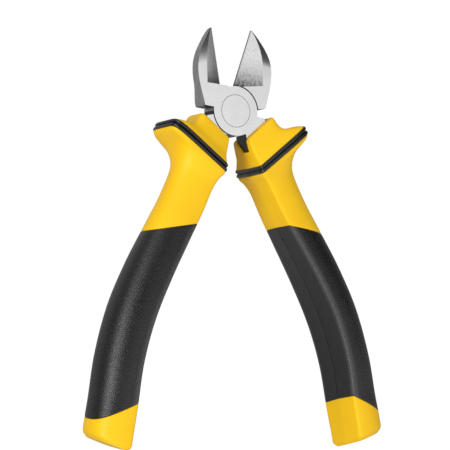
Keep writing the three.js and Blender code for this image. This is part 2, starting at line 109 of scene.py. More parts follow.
# Neck to end, as shares of the grip's sizes (along, bow, depth, rise, half, square, ridge)
GRIP_FORM = [
    (0, 0.26, 1.01, 0.42, 0.76, 2.5, 1.2),
    (0.09, 0.37, 1, 0.26, 0.79, 2.4, 1.1),
    (0.21, 0.56, 0.99, 0.23, 0.87, 2.4, 1),
    (0.36, 0.785, 1, 0.18, 0.955, 2.4, 1),
    (0.52, 0.96, 1, 0.07, 1, 2.4, 1),
    (0.69, 1, 0.99, -0.04, 1, 2.4, 1),
    (0.84, 0.91, 1.01, -0.07, 0.965, 2.5, 1.1),
    (0.945, 0.86, 1.01, 0.03, 0.955, 2.7, 1.4),
    (0.985, 0.84, 0.98, 0.09, 0.94, 3, 1.6),
    (1, 0.88, 0.8, 0.08, 0.84, 3, 2),
]

# Soft grip: where its edges cross the inner face, and how far they drop to the outer side
GRIP_WALL = 1.5
GRIP_START = {"distance": 45.1, "drop": 5.6, "bow": 0.45}
GRIP_END = {"distance": HANDLE_LENGTH - 16.7, "drop": 10, "bow": 0.93}
SEAM = 0.06
EDGE_ROUND = 0.35
FACE_GRAIN = 0.04
PARTING_SHARE = 0.014
PARTING_DEPTH = 0.5
GATE_DISTANCE = 4
GATE_RADIUS = 0.45
GATE_DEPTH = 0.6

# Guard band, with places across its groove as shares of the width
BAND_DEPTH = 1.4
BAND_RECESS = 0.5
BAND_PLACES = (0.02, 0.5, 0.98)
BAND_GRAIN = 0.15
RIB_RADIUS = 0.66
RIB_INSET = 0.2
RIB_PLACES = (0.21, 0.79)
RIB_SIDES = 16

# The steel root that enters the handle's nose
ROOT_OUTER_X = 11.15
ROOT_END = 15.2
MOULDING_GAP = 0.3
ROOT_COVER_Z = -0.6
ROOT_RUN = 0.5

# Camera: turned about the tool's length, tipped, rolled, at a distance from the pivot
VIEW_TURN = math.radians(-30)
VIEW_TIP = math.radians(-5)
VIEW_ROLL = math.radians(-0.9)
VIEW_DISTANCE = 850
VIEW_WIDTH = 162.45
VIEW_CENTRE = (-2.75, -40.7)
SENSOR = 36
CLIP_START = 0.01

# Steel edges and the rivet, in millimetres
EDGE_BREAK = 0.09
EDGE_SEGMENTS = 2
# BEVEL_START and RUN_OUT place the painted shade at the bevel's root
BEVEL_START = 9.9
RUN_OUT = 13
# EDGE_GAP and EDGE_LINE place the painted dark line of shade along the cutting edge, where the jaws meet
EDGE_GAP = 0.06
EDGE_LINE = 0.42
ROOT_TOP = 0
HOLE_RADIUS = 6.1
RIVET_RADIUS = 5.9
RIVET_SHANK = 4.2
RIVET_HEAD_DEPTH = 1.6
RIVET_RIM = 0.1

# The cutting bevel's slopes, and how steel faces are told apart by their normals
BEVEL_RISE = 0.7
EDGE_SLOPE = 0.18
BEVEL_MATCH = 0.985
GROUND_TILT = 0.85
UNDERSIDE = -0.8
# The fourth finish is a near-black painted shade on the root below the pivot and in the rivet's hole
GROUND, BEVEL, FORGED, SHADED_ROOT = range(4)

# Angles of edges in degrees
COPLANAR_ANGLE = 0.6
FLAT_EDGE_ANGLE = 3
LEVER_SHARP_ANGLE = 15
SHARP_ANGLE = 42
GRIP_SHARP_ANGLE = 50

# Finishes: colours and roughness where a pattern is low and high, and the scales that stretch it
NOISE_LOW = 0.3
NOISE_HIGH = 0.7
YELLOW_GLOSS = 0.3
YELLOW_COLOURS = ((0.86, 0.5, 0.001), (0.9, 0.54, 0.002))
YELLOW_ROUGHNESS = (0.36, 0.46)
RUBBER_GLOSS = 0.55
RUBBER_COLOURS = ((0.003, 0.003, 0.0035), (0.012, 0.012, 0.0125))
RUBBER_FACE_COLOURS = ((0.006, 0.006, 0.0065), (0.01, 0.01, 0.0105))
# Paler colours on the grip's ridges, a painted highlight
RUBBER_RIDGE_HIGHLIGHT_COLOURS = ((0.03, 0.03, 0.0305), (0.06, 0.06, 0.061))
RUBBER_ROUGHNESS = (0.24, 0.3)
STEEL_COLOURS = ((0.79, 0.79, 0.8), (0.84, 0.84, 0.845))
STEEL_ROUGHNESS = (0.14, 0.2)
STEEL_STREAKS = (1, 0.03, 1)
BEVEL_COLOURS = ((0.6, 0.6, 0.61), (0.92, 0.92, 0.93))
# Painted shade on the cutting bevel: near black towards its root, in patches, and along its edge
PAINTED_SHADE_COLOURS = ((0.02, 0.02, 0.021), (0.06, 0.06, 0.061))
BEVEL_ROUGHNESS = (0.2, 0.26)
BEVEL_STREAKS = (1, 0.12, 1)
# How the painted shade at the bevel's root is broken into patches
SHADE_PATCH_STRETCH = (1, 0.5, 1)
SHADE_PATCH_SHARE = (0.75, 1.35)
FORGED_TONE = 0.39
# Near-black painted shade for the root that goes into the nose and for the rivet's hole
SHADED_ROOT_TONE = 0.06
FORGED_DARK = (0.9, 0.9, 0.9)
FORGED_PALE = (1.1, 1.1, 1.12)
FORGED_ROUGHNESS = (0.35, 0.5)

# Studio: metres, watts and levels of light
FLOOR_REACH = 3
FLOOR_GAP = 0.0002
FLOOR_WHITE_SHARE = 0.92
FLOOR_WHITE = 1.085
FLOOR_PALE = 0.4
# The floor as it is mirrored: a painted pool of light under the tool, FLOOR_LIT, falling to FLOOR_SHADED
# to both sides
FLOOR_LIT = 0.5
FLOOR_SHADED = 0.215
FLOOR_MIDDLE = -0.015
FLOOR_CHANGE = (0.012, 0.06)
BRIGHT_SIDE = (-0.8, -0.6, 0.6)
DOME_LEVELS = [(-0.8, 0.62), (0.8, 1.03)]
DARK_SIDE = (0.7, 0.6, 0.35)
DARK_LEVELS = [(0.74, 1), (0.83, 0.05)]
DIM_SIDE = (-0.22, 0.37, 0.9)
DIM_LEVELS = [(0.9, 1), (0.965, 0.02)]
BOX_PLACE = (-0.9, -0.02, 0.48)
BOX_AIM = (0, -0.04, 0)
BOX_SIZE = (1.0, 0.25)
BOX_POWER = 5.0

# Facets of the smooth skins, and the smallest steps that count
FACE_STEPS = 7
RIDGE_STEPS = 5
SIDE_STEPS = 18
EDGE_ROWS = 4
NOSE_ROWS = 36
NECK_ROWS = 44
GRIP_ROWS = 70
CORE_ROWS = 16
CAP_ROWS = 26
ROUND_STEPS = 128
GATE_STEPS = 24
CROSSING_SAMPLES = 600
NOSE_EDGE_RATE = 0.15
FOOT_EDGE_RATE = 0.085
NOSE_TOP_INSET = 0.6
LEAST_CHORD = 1e-6
LEAST_ANGLE = 1e-6
MERGE_DISTANCE = 1e-6


def mix(a, b, share):
    return a + (b - a) * share


# Handle sections

def section(x, y, depth, rise, half, square, ridge):
    """One section as a row: inner x and y, outer x and y, half thickness, squareness, ridge radius."""
    return [x, y, x + depth, y + rise, half, square, ridge]


def grip_sections():
    rows = []
    for along, bow, depth, rise, half, square, ridge in GRIP_FORM:
        y = -mix(NECK_START, HANDLE_LENGTH, along)
        rows.append(section(bow * HANDLE_BOW, y, depth * GRIP_DEPTH, rise * GRIP_DEPTH,
                            half * GRIP_THICKNESS / 2, square, ridge * GRIP_RIDGE))
    return rows


def changing_sections(form, before, after, x_range, y_range):
    rows = []
    for along, inset, depth, rise, half, square in form:
        x = mix(*x_range, rise) + inset
        y = mix(*y_range, along)
        rows.append(section(x, y, mix(before["depth"], after["depth"], depth),
                            mix(before["rise"], after["rise"], rise),
                            mix(before["half"], after["half"], half), square,
                            mix(before["ridge"], after["ridge"], along)))
    return rows


def nose_rows():
    guard_top = {**GUARD, "depth": GUARD["depth"] - GUARD_TAPER}
    x_range = (PLANE_GAP, PLANE_GAP)
    return changing_sections(NOSE_FORM, NOSE, guard_top, x_range, (-NOSE_START, -GUARD_START))


def handle_rows():
    grip = grip_sections()
    x, y, outer_x, outer_y, half, _, ridge = grip[0]
    neck = {"depth": outer_x - x, "rise": outer_y - y, "half": half, "ridge": ridge}
    flare = changing_sections(FLARE_FORM, GUARD, neck, (PLANE_GAP, x), (-GUARD_END, -NECK_START))
    return flare + grip


def curve_through(points, place):
    """Points on a smooth curve through the given points, at places from 0 to 1."""
    points = np.asarray(points, float)
    padded = np.vstack([2 * points[0] - points[1], points, 2 * points[-1] - points[-2]])
    spans = len(points) - 1
    span = np.clip(np.floor(np.asarray(place) * spans), 0, spans - 1).astype(int)
    weight = (np.asarray(place) * spans - span)[:, None]
    before, start, end, after = (padded[span + offset] for offset in range(4))
    chords = [start - before, end - start, after - end]
    lengths = [np.maximum(np.linalg.norm(chord, axis=1), LEAST_CHORD) for chord in chords]
    step_in, step, step_out = (np.sqrt(length)[:, None] for length in lengths)
    middle = (end - start) / step
    leave = ((start - before) / step_in - (end - before) / (step_in + step) + middle) * step
    arrive = (middle - (after - start) / (step + step_out) + (after - end) / step_out) * step
    cubic = 2 * start - 2 * end + leave + arrive
    square = -3 * start + 3 * end - 2 * leave - arrive
    return start + weight * (leave + weight * (square + weight * cubic))


def ring_columns():
    """Where each point of a ring lies: on the inner face, on a ridge or on the round side."""
    half = [("face", 0), ("face", PARTING_SHARE)]
    half += [("face", step / FACE_STEPS) for step in range(1, FACE_STEPS)]
    half += [("ridge", math.pi / 2 * step / RIDGE_STEPS) for step in range(RIDGE_STEPS + 1)]
    half += [("side", math.pi / 2 * step / SIDE_STEPS) for step in range(1, SIDE_STEPS + 1)]
    front = [(kind, value, 1) for kind, value in half]
    back = [(kind, value, -1) for kind, value in half[-2:0:-1]]
    return front + back


COLUMNS = ring_columns()
KIND = np.array([kind for kind, _, _ in COLUMNS])
VALUE = np.array([value for _, value, _ in COLUMNS])
SIGN = np.array([sign for _, _, sign in COLUMNS])

# The column on the middle line of the inner face
MIDDLE = 0


def lean_at(y):
    """How far y moves for each millimetre of height: the lean grows from the guard to the end."""
    past = np.maximum(-y - GUARD_END, 0) / (HANDLE_LENGTH - GUARD_END)
    return past * HANDLE_LEAN / GRIP_THICKNESS


def skin_ring(rows, inset):
    """One ring of the handle from a row of section values for each of its points."""
    inner, outer = rows[:, 0:2], rows[:, 2:4]
    half = rows[:, 4] - inset
    power = 2 / rows[:, 5]
    ridge = np.maximum(rows[:, 6] - inset, LEAST_RIDGE)
    width = np.linalg.norm(outer - inner, axis=1)
    across = (outer - inner) / width[:, None]
    width = width - 2 * inset
    sine = np.clip(np.sin(VALUE), 0, 1)
    cosine = np.clip(np.cos(VALUE), 0, 1)
    cosine[VALUE > math.pi / 2 - LEAST_ANGLE] = 0
    depth = np.select(
        [KIND == "face", KIND == "ridge"],
        [-INNER_CROWN * (1 - VALUE), ridge * (1 - cosine)],
        ridge + (width - ridge) * sine ** power,
    )
    height = np.select(
        [KIND == "face", KIND == "ridge"],
        [VALUE * (half - ridge), half - ridge * (1 - sine)],
        half * cosine ** power,
    )
    flat = inner + across * (depth + inset)[:, None]
    z = SIGN * height
    return np.column_stack([flat[:, 0], flat[:, 1] + lean_at(flat[:, 1]) * z, z])


class Skin:
    """The outer surface of one stretch of the handle."""

    def __init__(self, rows):
        self.rows = np.array(rows)
        self.places = np.linspace(0, 1, CROSSING_SAMPLES)
        self.samples = np.array([self.ring(place) for place in self.places])

    def ring(self, place, inset=0.0):
        place = np.broadcast_to(np.asarray(place, float), (len(COLUMNS),))
        inner, outer, form = self.rows[:, 0:2], self.rows[:, 2:4], self.rows[:, 4:7]
        parts = [curve_through(points, place) for points in (inner, outer, form)]
        return skin_ring(np.column_stack(parts), inset)

    def crossing(self, edge, shift):
        """Where each line along the surface meets an edge of the grip that is moved by shift."""
        distance = edge["distance"] + shift
        slope = edge["drop"] / GRIP_DEPTH
        x, y, z = np.moveaxis(self.samples, 2, 0)
        line = lean_at(np.array(-distance)) * z - distance - slope * (x - edge["bow"] * HANDLE_BOW)
        below = line - y
        return np.array([np.interp(0, column, self.places) for column in below.T])


NOSE_SKIN = Skin(nose_rows())
GRIP_SKIN = Skin(handle_rows())


def guard_ring(share, inset):
    """A ring across the guard's groove: 0 at its upper edge, 1 at its lower edge."""
    upper, lower = NOSE_SKIN.rows[-1], GRIP_SKIN.rows[0]
    rows = np.tile(mix(upper, lower, share), (len(COLUMNS), 1))
    return skin_ring(rows, inset)


def grip_edge_ring(edge, shift, inset):
    """A ring where the surface meets an edge of the soft grip that is moved by shift."""
    return GRIP_SKIN.ring(GRIP_SKIN.crossing(edge, shift), inset)


def wall_rings(ring_at, depth):
    """Rings up a wall and over its rounded edge; ring_at takes the way back from it and the inset."""
    rings = [ring_at(0, depth)]
    for step in range(EDGE_ROWS + 1):
        turn = math.pi / 2 * step / EDGE_ROWS
        rings.append(ring_at(EDGE_ROUND * (1 - math.cos(turn)), EDGE_ROUND * (1 - math.sin(turn))))
    return rings


def stretch(skin, start, stop, steps, inset=0.0):
    """Rings along a skin between two places, without the first and last."""
    return [skin.ring(mix(start, stop, step / steps), inset) for step in range(1, steps)]


def body_rings():
    """The yellow sleeve: nose, groove of the guard band, neck, core under the soft grip, and end."""
    groove = BAND_DEPTH + MOULDING_GAP
    core = GRIP_WALL + MOULDING_GAP
    nose_end = wall_rings(lambda back, inset: NOSE_SKIN.ring(1 - back * NOSE_EDGE_RATE, inset), groove)
    guard_foot = wall_rings(lambda back, inset: GRIP_SKIN.ring(back * FOOT_EDGE_RATE, inset), groove)
    start = wall_rings(lambda back, inset: grip_edge_ring(GRIP_START, -back - SEAM, inset), core)
    end = wall_rings(lambda back, inset: grip_edge_ring(GRIP_END, back + SEAM, inset), core)
    neck_stop = GRIP_SKIN.crossing(GRIP_START, -EDGE_ROUND - SEAM)
    cap_start = GRIP_SKIN.crossing(GRIP_END, EDGE_ROUND + SEAM)
    rings = [NOSE_SKIN.ring(0, NOSE_TOP_INSET), NOSE_SKIN.ring(0, EDGE_ROUND / 2)]
    rings += stretch(NOSE_SKIN, 0, 1 - EDGE_ROUND * NOSE_EDGE_RATE, NOSE_ROWS)
    rings += nose_end[::-1] + guard_foot
    rings += stretch(GRIP_SKIN, EDGE_ROUND * FOOT_EDGE_RATE, neck_stop, NECK_ROWS)
    rings += start[::-1] + stretch(GRIP_SKIN, neck_stop, cap_start, CORE_ROWS, core) + end
    rings += stretch(GRIP_SKIN, cap_start, 1, CAP_ROWS) + [GRIP_SKIN.ring(1)]
    return rings


def grip_rings():
    """The black sleeve: its outer skin with rounded edges, and its inner wall back to the start."""
    start = wall_rings(lambda back, inset: grip_edge_ring(GRIP_START, back, inset), GRIP_WALL)
    end = wall_rings(lambda back, inset: grip_edge_ring(GRIP_END, -back, inset), GRIP_WALL)
    first = GRIP_SKIN.crossing(GRIP_START, EDGE_ROUND)
    last = GRIP_SKIN.crossing(GRIP_END, -EDGE_ROUND)
    outer = stretch(GRIP_SKIN, first, last, GRIP_ROWS)
    for ring in outer:
        ring[MIDDLE, 0] += PARTING_DEPTH
    inner = stretch(GRIP_SKIN, last, first, CORE_ROWS, GRIP_WALL)
    return start + outer + end[::-1] + inner


def band_rings():
    """The ring that lies in the guard's groove, between its two ribs a little below the yellow."""
    outer = [guard_ring(share, BAND_RECESS) for share in BAND_PLACES]
    inner = [guard_ring(share, BAND_DEPTH) for share in BAND_PLACES[::-1]]
    return outer + inner


# Meshes

def placed(points, side):
    """Points of the closed right-hand half, in millimetres, where they are on the open tool."""
    points = np.asarray(points, float).reshape(-1, 3)
    turn = HALF_OPENING
    if side == "left":
        points = points * (-1, 1, -1)
        turn = -turn
    x, y, z = points.T
    cosine, sine = math.cos(turn), math.sin(turn)
    return np.column_stack([cosine * x - sine * y, sine * x + cosine * y, z + HEAD_MIDDLE]) * MM


def new_object(name, mesh, *materials):
    obj = bpy.data.objects.new(name, mesh)
    bpy.context.scene.collection.objects.link(obj)
    for material in materials:
        mesh.materials.append(material)
    return obj


def face_outwards(mesh):
    work = bmesh.new()
    work.from_mesh(mesh)
    bmesh.ops.recalc_face_normals(work, faces=work.faces)
    work.to_mesh(mesh)
    work.free()


def ring_quads(ring_count, count, closed):
    """Quads over rings of count points; closed joins the last ring to the first."""
    faces = []
    for ring in range(ring_count if closed else ring_count - 1):
        here, there = ring * count, (ring + 1) % ring_count * count
        for column in range(count):
            after = (column + 1) % count
            faces.append((here + column, there + column, there + after, here + after))
    return faces


def ring_mesh(name, rings, side, closed):
    """A mesh over rings of the handle, which has both ends capped where it isn't closed."""
    count = len(COLUMNS)
    faces = ring_quads(len(rings), count, closed)
    if not closed:
        faces.append(tuple(range(count)))
        faces.append(tuple(range((len(rings) - 1) * count, len(rings) * count)))
    mesh = bpy.data.meshes.new(name)
    mesh.from_pydata(placed(np.vstack(rings), side).tolist(), [], faces)
    face_outwards(mesh)
    return mesh


def shade(mesh, sharp_angle):
    mesh.shade_smooth()
    mesh.set_sharp_from_angle(angle=math.radians(sharp_angle))


def settle(obj):
    """Turns the object's evaluated form into its plain mesh, with no modifier left."""
    bpy.context.view_layer.update()
    evaluated = obj.evaluated_get(bpy.context.evaluated_depsgraph_get())
    mesh = bpy.data.meshes.new_from_object(evaluated)
    obj.modifiers.clear()
    obj.data = mesh
    return mesh


def cut_away(obj, name, points, faces, side):
    """Takes a closed shape, given in the closed tool's millimetres, out of an object."""
    mesh = bpy.data.meshes.new(name)
    mesh.from_pydata(placed(points, side).tolist(), [], faces)
    face_outwards(mesh)
    cutter = new_object(name, mesh)
    cut = obj.modifiers.new(name, "BOOLEAN")
    cut.object = cutter
    cut.solver = "EXACT"
    settle(obj)
    bpy.data.objects.remove(cutter)


def cut_root_space(obj, side):
    """The space that the lever's root takes in the nose."""
    x_low, x_high = -ROOT_OUTER_X, ROOT_OUTER_X + MOULDING_GAP
    z = HEAD_HALF + MOULDING_GAP
    y_low, y_start = -ROOT_END - MOULDING_GAP, -NOSE_START
    y_high = y_start + (y_start - y_low) * ROOT_RUN
    back_high = mix(ROOT_COVER_Z, -z, 1 + ROOT_RUN)
    corners = [(x_low, y_low, ROOT_COVER_Z), (x_high, y_low, ROOT_COVER_Z)]
    corners += [(x_high, y_high, back_high), (x_low, y_high, back_high)]
    corners += [(x_low, y_low, z), (x_high, y_low, z), (x_high, y_high, z), (x_low, y_high, z)]
    faces = [(0, 1, 2, 3), (4, 5, 6, 7), (0, 1, 5, 4), (1, 2, 6, 5), (2, 3, 7, 6), (3, 0, 4, 7)]
    cut_away(obj, "root_space", corners, faces, side)


def cut_gate_mark(obj, side):
    """The small round mark that the mould's gate leaves near the top of the grip's inner face."""
    x, y, _ = GRIP_SKIN.ring(GRIP_SKIN.crossing(GRIP_START, GATE_DISTANCE))[MIDDLE]
    turns = [2 * math.pi * step / GATE_STEPS for step in range(GATE_STEPS)]
    circle = [(y + GATE_RADIUS * math.cos(turn), GATE_RADIUS * math.sin(turn)) for turn in turns]
    points = [(x + depth, *point) for depth in (-GATE_DEPTH, GATE_DEPTH) for point in circle]
    faces = [tuple(range(GATE_STEPS)), tuple(range(GATE_STEPS, 2 * GATE_STEPS))]
    for step in range(GATE_STEPS):
        after = (step + 1) % GATE_STEPS
        faces.append((step, after, after + GATE_STEPS, step + GATE_STEPS))
    cut_away(obj, "gate_mark", points, faces, side)


def handle_body(side, rings, material):
    name = f"{side}_handle_sleeve"
    obj = new_object(name, ring_mesh(name, rings, side, False), material)
    cut_root_space(obj, side)
    shade(obj.data, SHARP_ANGLE)
    return obj


def soft_grip(side, rings, material):
    """The sleeve, with how grained each of its points is and where its ridges carry a painted highlight.
    """
    name = f"{side}_grip_sleeve"
    mesh = ring_mesh(name, rings, side, True)
    # grain is the real texture; the ridge share marks where the painted highlight goes
    looks = {"grain": np.where(KIND == "face", FACE_GRAIN, 1.0), "painted_ridge_highlight": 1.0 * (KIND == "ridge")}
    for look, amount in looks.items():
        layer = mesh.attributes.new(look, "FLOAT", "POINT")
        layer.data.foreach_set("value", np.tile(amount, len(rings)).astype(np.float32))
    obj = new_object(name, mesh, material)
    cut_gate_mark(obj, side)
    shade(obj.data, GRIP_SHARP_ANGLE)
    return obj


def guard_band(side, rings, material):
    name = f"{side}_guard_ring"
    mesh = ring_mesh(name, rings, side, True)
    shade(mesh, SHARP_ANGLE)
    return new_object(name, mesh, material)


# Beads that follow a path on the surface

def bead_tree():
    tree = bpy.data.node_groups.new("bead along a path", "GeometryNodeTree")
    sockets = tree.interface
    sockets.new_socket("Path", in_out="INPUT", socket_type="NodeSocketGeometry")
    sockets.new_socket("Bead Radius", in_out="INPUT", socket_type="NodeSocketFloat")
    sockets.new_socket("Bead Sides", in_out="INPUT", socket_type="NodeSocketInt")
    sockets.new_socket("Finish", in_out="INPUT", socket_type="NodeSocketMaterial")
    sockets.new_socket("Bead", in_out="OUTPUT", socket_type="NodeSocketGeometry")
    nodes, link = tree.nodes, tree.links.new
    given = nodes.new("NodeGroupInput")
    path = nodes.new("GeometryNodeMeshToCurve")
    profile = nodes.new("GeometryNodeCurvePrimitiveCircle")
    sweep = nodes.new("GeometryNodeCurveToMesh")
    rounded = nodes.new("GeometryNodeSetShadeSmooth")
    realize = nodes.new("GeometryNodeRealizeInstances")
    finish = nodes.new("GeometryNodeSetMaterial")
    result = nodes.new("NodeGroupOutput")
    link(given.outputs["Path"], path.inputs["Mesh"])
    link(given.outputs["Bead Radius"], profile.inputs["Radius"])
    link(given.outputs["Bead Sides"], profile.inputs["Resolution"])
    link(path.outputs["Curve"], sweep.inputs["Curve"])
    link(profile.outputs["Curve"], sweep.inputs["Profile Curve"])
    link(sweep.outputs["Mesh"], rounded.inputs["Geometry"])
    link(rounded.outputs["Geometry"], realize.inputs["Geometry"])
    link(realize.outputs["Geometry"], finish.inputs["Geometry"])
    link(given.outputs["Finish"], finish.inputs["Material"])
    link(finish.outputs["Geometry"], result.inputs["Bead"])
    return tree


def set_input(modifier, name, value):
    for socket in modifier.node_group.interface.items_tree:
        if socket.name == name and socket.in_out == "INPUT":
            modifier[socket.identifier] = value


def beads(name, loops, side, radius, sides, tree, material):
    """Round beads along closed loops given in the closed tool's millimetres."""
    points, edges = [], []
    for loop in loops:
        first, count = len(points), len(loop)
        points.extend(placed(loop, side).tolist())
        edges.extend((first + step, first + (step + 1) % count) for step in range(count))
    mesh = bpy.data.meshes.new(name)
    mesh.from_pydata(points, edges, [])
    obj = new_object(name, mesh)
    sweep = obj.modifiers.new("bead", "NODES")
    sweep.node_group = tree
    set_input(sweep, "Bead Radius", radius * MM)
    set_input(sweep, "Bead Sides", sides)
    set_input(sweep, "Finish", material)
    settle(obj)
    return obj


# Steel

def join_facets(mesh):
    """Joins the coplanar facets and marks the sharp edges outside the rivet's hole to be broken."""
    work = bmesh.new()
    work.from_mesh(mesh)
    bmesh.ops.remove_doubles(work, verts=work.verts, dist=MERGE_DISTANCE)
    coplanar = math.radians(COPLANAR_ANGLE)
    bmesh.ops.dissolve_limit(work, angle_limit=coplanar, verts=work.verts, edges=work.edges)
    share = work.edges.layers.float.new("bevel_weight_edge")
    for edge in work.edges:
        in_hole = all(vert.co.xy.length < HOLE_RADIUS * MM for vert in edge.verts)
        edge[share] = not in_hole and edge.calc_face_angle(0) > math.radians(LEVER_SHARP_ANGLE)
    work.to_mesh(mesh)
    work.free()


def steel_index(face, bevel_normal):
    """Which of the steel finishes a face has; the side faces below the pivot, those facing the handles
    and those in the rivet's hole get a near-black painted shade.
    """
    if face.normal.dot(bevel_normal) > BEVEL_MATCH:
        return BEVEL
    if abs(face.normal.z) > GROUND_TILT:
        return GROUND
    in_hole = face.center.xy.length < HOLE_RADIUS * MM
    at_root = face.normal.y < UNDERSIDE or face.center.y < ROOT_TOP * MM
    return SHADED_ROOT if in_hole or at_root else FORGED


def shade_flat_faces(mesh):
    """Marks the edges round the ground faces and the bevel as sharp, so that each is shaded flat."""
    work = bmesh.new()
    work.from_mesh(mesh)
    for edge in work.edges:
        ground = any(face.material_index in (GROUND, BEVEL) for face in edge.link_faces)
        if ground and edge.calc_face_angle(0) > math.radians(FLAT_EDGE_ANGLE):
            edge.smooth = False
    work.to_mesh(mesh)
    work.free()


def lay_closed_place(mesh, jaw_side):
    """Stores where each point lies on the closed tool, with x counted from the closing plane."""
    layer = mesh.attributes.new("closed_place", "FLOAT_VECTOR", "POINT")
    unturn = Matrix.Rotation(-jaw_side * HALF_OPENING, 3, "Z")
    for point, value in zip(mesh.vertices, layer.data):
        place = unturn @ point.co
        value.vector = (-jaw_side * place.x, place.y, place.z)


def dressed_lever(name, node, jaw_side, materials):
    """A copy of the lever with its coplanar facets joined, its edges broken and its finishes laid on."""
    mesh = frame["nodes"][node].data.copy()
    mesh.name = name
    mesh.materials.clear()
    join_facets(mesh)
    obj = new_object(name, mesh, *materials)
    edges = obj.modifiers.new("broken edges", "BEVEL")
    edges.width = EDGE_BREAK * MM
    edges.segments = EDGE_SEGMENTS
    edges.limit_method = "WEIGHT"
    mesh = settle(obj)
    normal = Vector((jaw_side * BEVEL_RISE, -EDGE_SLOPE, 1)).normalized()
    normal.rotate(Matrix.Rotation(jaw_side * HALF_OPENING, 3, "Z"))
    for face in mesh.polygons:
        face.material_index = steel_index(face, normal)
    shade(mesh, LEVER_SHARP_ANGLE)
    shade_flat_faces(mesh)
    lay_closed_place(mesh, jaw_side)
    return obj


def turned_rivet(material):
    """The rivet's two flush heads and its shank; a straight rim leaves a fine groove round each head."""
    rim = RIVET_RADIUS - RIVET_RIM
    half = [(rim, HEAD_HALF), (rim, HEAD_HALF - RIVET_RIM), (RIVET_SHANK, HEAD_HALF - RIVET_HEAD_DEPTH)]
    profile = half + [(radius, -height) for radius, height in reversed(half)]
    turns = [2 * math.pi * step / ROUND_STEPS for step in range(ROUND_STEPS)]
    circle = [(math.cos(turn), math.sin(turn)) for turn in turns]
    points = [(radius * x, radius * y, height) for radius, height in profile for x, y in circle]
    faces = ring_quads(len(profile), ROUND_STEPS, False)
    for height, ring in ((HEAD_HALF, 0), (-HEAD_HALF, len(profile) - 1)):
        first = ring * ROUND_STEPS
        for step in range(ROUND_STEPS):
            faces.append((len(points), first + step, first + (step + 1) % ROUND_STEPS))
        points.append((0, 0, height))
    mesh = bpy.data.meshes.new("flush_rivet")
    mesh.from_pydata([(x * MM, y * MM, (z + HEAD_MIDDLE) * MM) for x, y, z in points], [], faces)
    face_outwards(mesh)
    shade(mesh, LEVER_SHARP_ANGLE)
    return new_object("flush_rivet", mesh, material)


# Materials

class Finish:
    """A material with a principled shader and a few helpers for its patterns."""

    def __init__(self, name):
        self.material = bpy.data.materials.new(name)
        self.material.use_nodes = True
        self.nodes = self.material.node_tree.nodes
        self.link = self.material.node_tree.links.new
        self.shader = self.nodes["Principled BSDF"]
        self.place = self.nodes.new("ShaderNodeTexCoord").outputs["Object"]

    def set(self, **values):
        for name, value in values.items():
            self.shader.inputs[name.replace("_", " ")].default_value = value

    def stretched(self, scale):
        node = self.nodes.new("ShaderNodeMapping")
        node.inputs["Scale"].default_value = scale
        self.link(self.place, node.inputs["Vector"])
        return node.outputs["Vector"]

    def noise(self, size, detail=2.0, vector=None):
        """Noise whose features are about size millimetres across."""
        node = self.nodes.new("ShaderNodeTexNoise")
        node.inputs["Scale"].default_value = 1 / (size * MM)
        node.inputs["Detail"].default_value = detail
        self.link(vector or self.place, node.inputs["Vector"])
        return node.outputs["Fac"]

    def spread(self, value, low, high):
        """The value's middle range turned into low to high."""
        node = self.nodes.new("ShaderNodeMapRange")
        node.inputs["From Min"].default_value = NOISE_LOW
        node.inputs["From Max"].default_value = NOISE_HIGH
        node.inputs["To Min"].default_value = low
        node.inputs["To Max"].default_value = high
        self.link(value, node.inputs["Value"])
        return node.outputs["Result"]

    def colours(self, value, low, high):
        """The value's middle range turned into one colour to another."""
        node = self.nodes.new("ShaderNodeValToRGB")
        first, last = node.color_ramp.elements
        first.position, first.color = NOISE_LOW, (*low, 1)
        last.position, last.color = NOISE_HIGH, (*high, 1)
        self.link(value, node.inputs["Fac"])
        return node.outputs["Color"]

    def blend(self, first, second, share):
        node = self.nodes.new("ShaderNodeMix")
        node.data_type = "RGBA"
        colours = [socket for socket in node.inputs if socket.type == "RGBA"]
        self.link(share, node.inputs["Factor"])
        self.link(first, colours[0])
        self.link(second, colours[1])
        return next(socket for socket in node.outputs if socket.type == "RGBA")

    def bump(self, height, strength, depth, before=None):
        """A bump of depth millimetres, on top of the one before; strength is a number or a socket."""
        node = self.nodes.new("ShaderNodeBump")
        node.inputs["Distance"].default_value = depth * MM
        self.link(height, node.inputs["Height"])
        if isinstance(strength, float):
            node.inputs["Strength"].default_value = strength
        else:
            self.link(strength, node.inputs["Strength"])
        if before:
            self.link(before, node.inputs["Normal"])
        return node.outputs["Normal"]

    def attribute(self, name, output="Fac"):
        node = self.nodes.new("ShaderNodeAttribute")
        node.attribute_name = name
        return node.outputs[output]

    def times(self, first, second):
        node = self.nodes.new("ShaderNodeMath")
        node.operation = "MULTIPLY"
        self.link(first, node.inputs[0])
        self.link(second, node.inputs[1])
        return node.outputs["Value"]

    def fall_along(self, axis, start, length, power):
        """1 at start on an axis, falling to 0 over a length in millimetres, and raised to a power."""
        split = self.nodes.new("ShaderNodeSeparateXYZ")
        self.link(self.place, split.inputs["Vector"])
        fall = self.nodes.new("ShaderNodeMapRange")
        fall.inputs["From Min"].default_value = (start + length) * MM
        fall.inputs["From Max"].default_value = start * MM
        self.link(split.outputs[axis], fall.inputs["Value"])
        curve = self.nodes.new("ShaderNodeMath")
        curve.operation = "POWER"
        curve.inputs[1].default_value = power
        self.link(fall.outputs["Result"], curve.inputs[0])
        return curve.outputs["Value"]

    def drive(self, name, value):
        self.link(value, self.shader.inputs[name])


def yellow_plastic():
    """Smooth and satin, with a faint orange peel."""
    finish = Finish("yellow_plastic")
    finish.set(Specular_IOR_Level=YELLOW_GLOSS)
    finish.drive("Base Color", finish.colours(finish.noise(14), *YELLOW_COLOURS))
    finish.drive("Roughness", finish.spread(finish.noise(3), *YELLOW_ROUGHNESS))
    peel = finish.bump(finish.noise(0.9), strength=0.25, depth=0.02)
    finish.drive("Normal", finish.bump(finish.noise(0.25), strength=0.2, depth=0.01, before=peel))
    return finish.material


